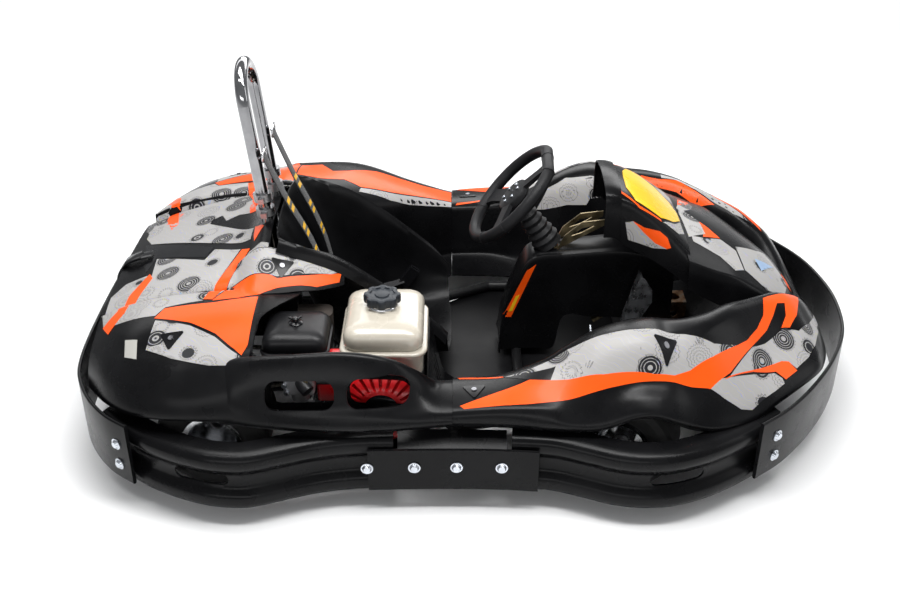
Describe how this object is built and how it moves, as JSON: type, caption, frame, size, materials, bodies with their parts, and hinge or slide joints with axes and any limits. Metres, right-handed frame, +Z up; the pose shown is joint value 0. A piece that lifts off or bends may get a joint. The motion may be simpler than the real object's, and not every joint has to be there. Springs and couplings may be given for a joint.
{
  "type": "rental kart",
  "caption": "Complete rental kart: tube frame, moulded body and wrap-round bumpers, side engine with chain drive, steered front wheels, seat, hoop and belts.",
  "frame": {"origin": "on the ground, under the middle of the kart's overall box", "axes": "+X forward, +Y the driver's left, +Z up"},
  "size_m": [2.096, 1.4928, 0.9251],
  "materials": {
    "frame_paint": "satin black paint on steel tube",
    "body_plastic": "moulded black polyethylene, satin",
    "tray_steel": "black painted sheet",
    "zinc_bolts": "bright zinc plate",
    "chrome_tube": "polished chrome",
    "satin_steel": "machined steel",
    "webbing": "woven black belt",
    "buckle_plastic": "black moulded buckle",
    "rim_alloy": "machined",
    "tyre_rubber": "slick rubber",
    "grip_rubber": "grained soft grip",
    "boot_rubber": "ribbed bellows",
    "yellow_zinc": "yellow passivated zinc",
    "cast_iron_disc": "turned disc",
    "engine_alloy": "dark cast alloy",
    "red_paint": "gloss red",
    "tank_paint": "gloss off-white",
    "cap_plastic": "dark grey lobed cap",
    "cleaner_plastic": "black moulded cover",
    "muffler_steel": "heat-stained steel",
    "chain_steel": "oiled chain",
    "rusty_steel": "bare steel with rust"
  },
  "bodies": {
    "chassis": {"frame_rail_R": "frame_paint", "frame_rail_L": "frame_paint", "frame_crossbars": "frame_paint", "outer_tubes": "frame_paint", "steering_yokes": "frame_paint", "axle_bearings": "frame_paint", "engine_mount": "frame_paint", "front_pod_R": "body_plastic", "front_pod_L": "body_plastic", "rear_pod_R": "body_plastic", "rear_pod_L": "body_plastic", "rear_cover": "body_plastic", "nose": "body_plastic", "fairing": "body_plastic", "tunnel_cover": "body_plastic", "seat": "body_plastic", "front_bumpers": "body_plastic", "rear_bumpers": "body_plastic", "bumper_plates": "body_plastic", "front_strap": "body_plastic", "rear_strap": "body_plastic", "floor_tray": "tray_steel", "bolts": "zinc_bolts", "hoop": "chrome_tube", "hoop_clamps": "satin_steel", "seat_belts": "webbing", "belt_buckles": "buckle_plastic", "steering_boot": "boot_rubber", "column_bracket": "yellow_zinc", "brake_caliper": "engine_alloy", "engine_block": "engine_alloy", "recoil_starter": "red_paint", "fuel_tank": "tank_paint", "carburettor": "engine_alloy", "air_cleaner": "cleaner_plastic", "exhaust_muffler": "muffler_steel", "drive_chain": "chain_steel", "pedal_mounts": "rusty_steel"},
    "steering": {"steering_wheel": "grip_rubber", "steering_column": "satin_steel"},
    "knuckle_right": {"knuckle_R": "satin_steel"},
    "knuckle_left": {"knuckle_L": "satin_steel"},
    "tie_rod_right": {"tie_rod_R": "zinc_bolts"},
    "tie_rod_left": {"tie_rod_L": "zinc_bolts"},
    "front_wheel_right": {"front_rim_R": "rim_alloy", "front_tyre_R": "tyre_rubber"},
    "front_wheel_left": {"front_rim_L": "rim_alloy", "front_tyre_L": "tyre_rubber"},
    "rear_axle_set": {"rear_axle": "satin_steel", "rear_hubs": "rim_alloy", "rear_rims": "rim_alloy", "rear_tyres": "tyre_rubber", "axle_sprocket": "satin_steel", "brake_disc": "cast_iron_disc"},
    "clutch": {"clutch_sprocket": "satin_steel"},
    "throttle": {"throttle_pedal": "chrome_tube"},
    "brake": {"brake_pedal": "chrome_tube"},
    "carb_arm": {"throttle_arm": "yellow_zinc"},
    "tank_cap": {"fuel_cap": "cap_plastic"},
    "starter_grip": {"recoil_handle": "grip_rubber"}
  },
  "joints": [
    {"name": "steering_turn", "type": "hinge", "parent": "chassis", "child": "steering", "pos_m": [0.109, 0, 0.538], "axis": [-0.5736, 0, 0.8192], "range_deg": [-20, 130]},
    {"name": "knuckle_right_turn", "type": "hinge", "parent": "chassis", "child": "knuckle_right", "pos_m": [0.427, -0.43, 0.128], "axis": [0, 0, 1], "range_deg": [-8, 52]},
    {"name": "knuckle_left_turn", "type": "hinge", "parent": "chassis", "child": "knuckle_left", "pos_m": [0.427, 0.43, 0.128], "axis": [0, 0, 1], "range_deg": [-8, 52]},
    {"name": "tie_rod_right_swing", "type": "hinge", "parent": "knuckle_right", "child": "tie_rod_right", "pos_m": [0.33248, -0.37563, 0.1], "axis": [0, 0, 1], "range_deg": [-52, 8]},
    {"name": "tie_rod_left_swing", "type": "hinge", "parent": "knuckle_left", "child": "tie_rod_left", "pos_m": [0.32125, 0.45655, 0.1], "axis": [0, 0, 1], "range_deg": [-52, 8]},
    {"name": "front_wheel_right_spin", "type": "hinge", "parent": "knuckle_right", "child": "front_wheel_right", "pos_m": [0.427, -0.43, 0.128], "axis": [0.3746, 0.9272, 0], "continuous": true},
    {"name": "front_wheel_left_spin", "type": "hinge", "parent": "knuckle_left", "child": "front_wheel_left", "pos_m": [0.427, 0.43, 0.128], "axis": [0.3746, 0.9272, 0], "continuous": true},
    {"name": "rear_axle_spin", "type": "hinge", "parent": "chassis", "child": "rear_axle_set", "pos_m": [-0.653, 0, 0.14], "axis": [0, 1, 0], "continuous": true},
    {"name": "clutch_spin", "type": "hinge", "parent": "chassis", "child": "clutch", "pos_m": [-0.235, -0.272, 0.172], "axis": [0, 1, 0], "continuous": true},
    {"name": "throttle_press", "type": "hinge", "parent": "chassis", "child": "throttle", "pos_m": [0.47, -0.11, 0.11], "axis": [0, 1, 0], "range_deg": [0, 20], "stiffness_Nm_per_rad": 3, "springref_deg": -17.19},
    {"name": "brake_press", "type": "hinge", "parent": "chassis", "child": "brake", "pos_m": [0.47, 0.11, 0.11], "axis": [0, 1, 0], "range_deg": [0, 20], "stiffness_Nm_per_rad": 6, "springref_deg": -17.19},
    {"name": "carb_arm_turn", "type": "hinge", "parent": "chassis", "child": "carb_arm", "pos_m": [-0.42, -0.533, 0.262], "axis": [0, 1, 0], "range_deg": [0, 30]},
    {"name": "fuel_cap_turn", "type": "hinge", "parent": "chassis", "child": "tank_cap", "pos_m": [-0.235, -0.37, 0.41], "axis": [0, 0, 1], "range_deg": [0, 90]},
    {"name": "starter_pull", "type": "slide", "parent": "chassis", "child": "starter_grip", "axis": [0, -1, 0], "range_m": [0, 0.12], "stiffness_N_per_m": 20, "springref_m": -0.05}
  ],
  "couplings": [
    {"joint": "knuckle_right_turn", "follows": "steering_turn", "ratio": 0.4},
    {"joint": "knuckle_left_turn", "follows": "steering_turn", "ratio": 0.4},
    {"joint": "tie_rod_right_swing", "follows": "steering_turn", "ratio": -0.4},
    {"joint": "tie_rod_left_swing", "follows": "steering_turn", "ratio": -0.4},
    {"joint": "clutch_spin", "follows": "rear_axle_spin", "ratio": 3},
    {"joint": "carb_arm_turn", "follows": "throttle_press", "ratio": 1.5}
  ]
}
